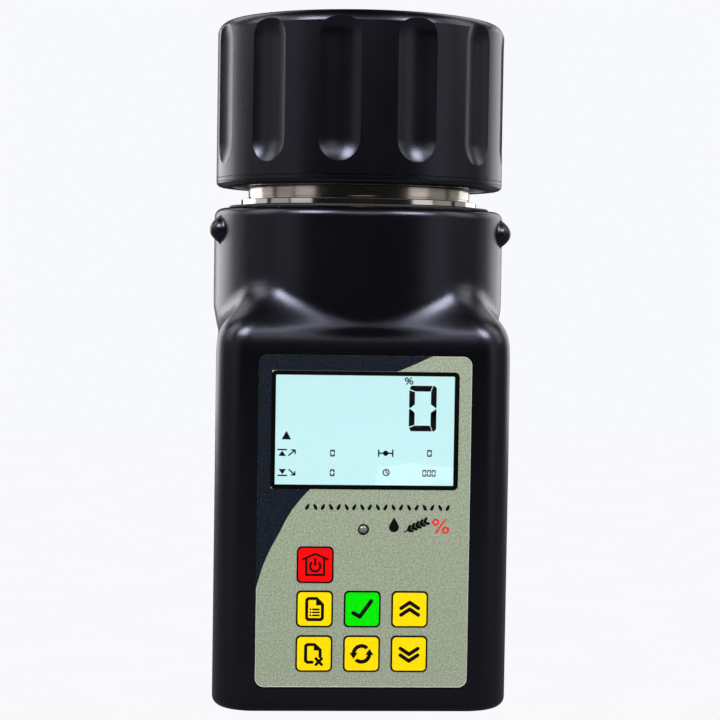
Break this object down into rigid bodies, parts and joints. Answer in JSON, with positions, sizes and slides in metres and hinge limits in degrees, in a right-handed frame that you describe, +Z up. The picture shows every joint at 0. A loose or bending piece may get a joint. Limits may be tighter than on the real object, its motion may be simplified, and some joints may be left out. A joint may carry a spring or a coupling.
{
  "type": "grain moisture meter",
  "caption": "Handheld grain moisture meter: boxy base with display and keypad, round upper part, fluted screw cap over the measuring chamber.",
  "frame": {"origin": "centre of the underside of the base", "axes": "+Z up along the cap's axis, the display and keys face -Y, +X is to the right seen from the display side"},
  "size_m": [0.0922, 0.0912, 0.205],
  "materials": {
    "housing_black": "fine texture",
    "cap_black": "fine texture",
    "inner_dark": "plain",
    "overlay_film": "printed film",
    "key_red": "embossed",
    "key_green": "embossed",
    "key_yellow": "embossed",
    "window_clear": "clear",
    "lcd_cyan": "backlit",
    "white_plastic": "plain",
    "board_green": "solder resist",
    "steel": "satin",
    "nickel_plate": "plated",
    "brass": "machined",
    "rubber_black": "matte",
    "led_grey": "diffused lens",
    "battery_case": "wrapped",
    "wire_red": "insulated",
    "wire_black": "insulated"
  },
  "bodies": {
    "housing": {"backlight": "white_plastic", "base_cover": "housing_black", "base_screw_1": "steel", "base_screw_2": "steel", "base_screw_3": "steel", "base_screw_4": "steel", "battery": "battery_case", "battery_lead_black": "wire_black", "battery_lead_red": "wire_red", "battery_snap": "inner_dark", "battery_tray": "inner_dark", "centre_electrode": "nickel_plate", "chamber_cup": "nickel_plate", "chamber_lock_nut": "brass", "display_window": "window_clear", "dome_delete": "steel", "dome_down": "steel", "dome_ok": "steel", "dome_power": "steel", "dome_repeat": "steel", "dome_store": "steel", "dome_up": "steel", "electrode_nut": "brass", "graphic_overlay": "overlay_film", "insulator_base": "white_plastic", "lcd_frame": "white_plastic", "lcd_panel": "lcd_cyan", "main_housing": "housing_black", "main_pcb": "board_green", "neck_gasket": "rubber_black", "pcb_screw_1": "steel", "pcb_screw_2": "steel", "pcb_screw_3": "steel", "pcb_screw_4": "steel", "sensor_pcb": "board_green", "status_led": "led_grey", "temperature_probe": "steel"},
    "plunger": {"pressure_plate": "nickel_plate", "indicator_pin": "steel", "pin_nut": "brass", "pressure_spring": "steel"},
    "spring_seat": {"spring_seat": "steel"},
    "cap": {"cap_shell": "cap_black", "cap_thread_ring": "inner_dark", "indicator_bezel": "nickel_plate"},
    "battery_door": {"battery_door": "housing_black"},
    "key_power": {"key_power": "key_red"},
    "key_store": {"key_store": "key_yellow"},
    "key_ok": {"key_ok": "key_green"},
    "key_up": {"key_up": "key_yellow"},
    "key_delete": {"key_delete": "key_yellow"},
    "key_repeat": {"key_repeat": "key_yellow"},
    "key_down": {"key_down": "key_yellow"}
  },
  "joints": [
    {"name": "cap_lift_off", "type": "slide", "parent": "housing", "child": "plunger", "axis": [0, 0, 1], "range_m": [0, 0.075]},
    {"name": "cap_advance", "type": "slide", "parent": "plunger", "child": "spring_seat", "axis": [0, 0, 1], "range_m": [-0.005, 0.004], "deforming": ["pressure_spring"]},
    {"name": "cap_turn", "type": "hinge", "parent": "spring_seat", "child": "cap", "pos_m": [0, 0, 0.18], "axis": [0, 0, 1], "range_deg": [-440, 350]},
    {"name": "battery_door_hinge", "type": "hinge", "parent": "housing", "child": "battery_door", "pos_m": [0, 0.0446, 0.0132], "axis": [-1, 0, 0], "range_deg": [0, 80]},
    {"name": "press_power", "type": "slide", "parent": "housing", "child": "key_power", "axis": [0, 1, 0], "range_m": [0, 0.00045], "stiffness_N_per_m": 4000},
    {"name": "press_store", "type": "slide", "parent": "housing", "child": "key_store", "axis": [0, 1, 0], "range_m": [0, 0.00045], "stiffness_N_per_m": 4000},
    {"name": "press_ok", "type": "slide", "parent": "housing", "child": "key_ok", "axis": [0, 1, 0], "range_m": [0, 0.00045], "stiffness_N_per_m": 4000},
    {"name": "press_up", "type": "slide", "parent": "housing", "child": "key_up", "axis": [0, 1, 0], "range_m": [0, 0.00045], "stiffness_N_per_m": 4000},
    {"name": "press_delete", "type": "slide", "parent": "housing", "child": "key_delete", "axis": [0, 1, 0], "range_m": [0, 0.00045], "stiffness_N_per_m": 4000},
    {"name": "press_repeat", "type": "slide", "parent": "housing", "child": "key_repeat", "axis": [0, 1, 0], "range_m": [0, 0.00045], "stiffness_N_per_m": 4000},
    {"name": "press_down", "type": "slide", "parent": "housing", "child": "key_down", "axis": [0, 1, 0], "range_m": [0, 0.00045], "stiffness_N_per_m": 4000}
  ],
  "couplings": [
    {"joint": "cap_advance", "follows": "cap_turn", "m_per_rad": 0.00063662}
  ]
}
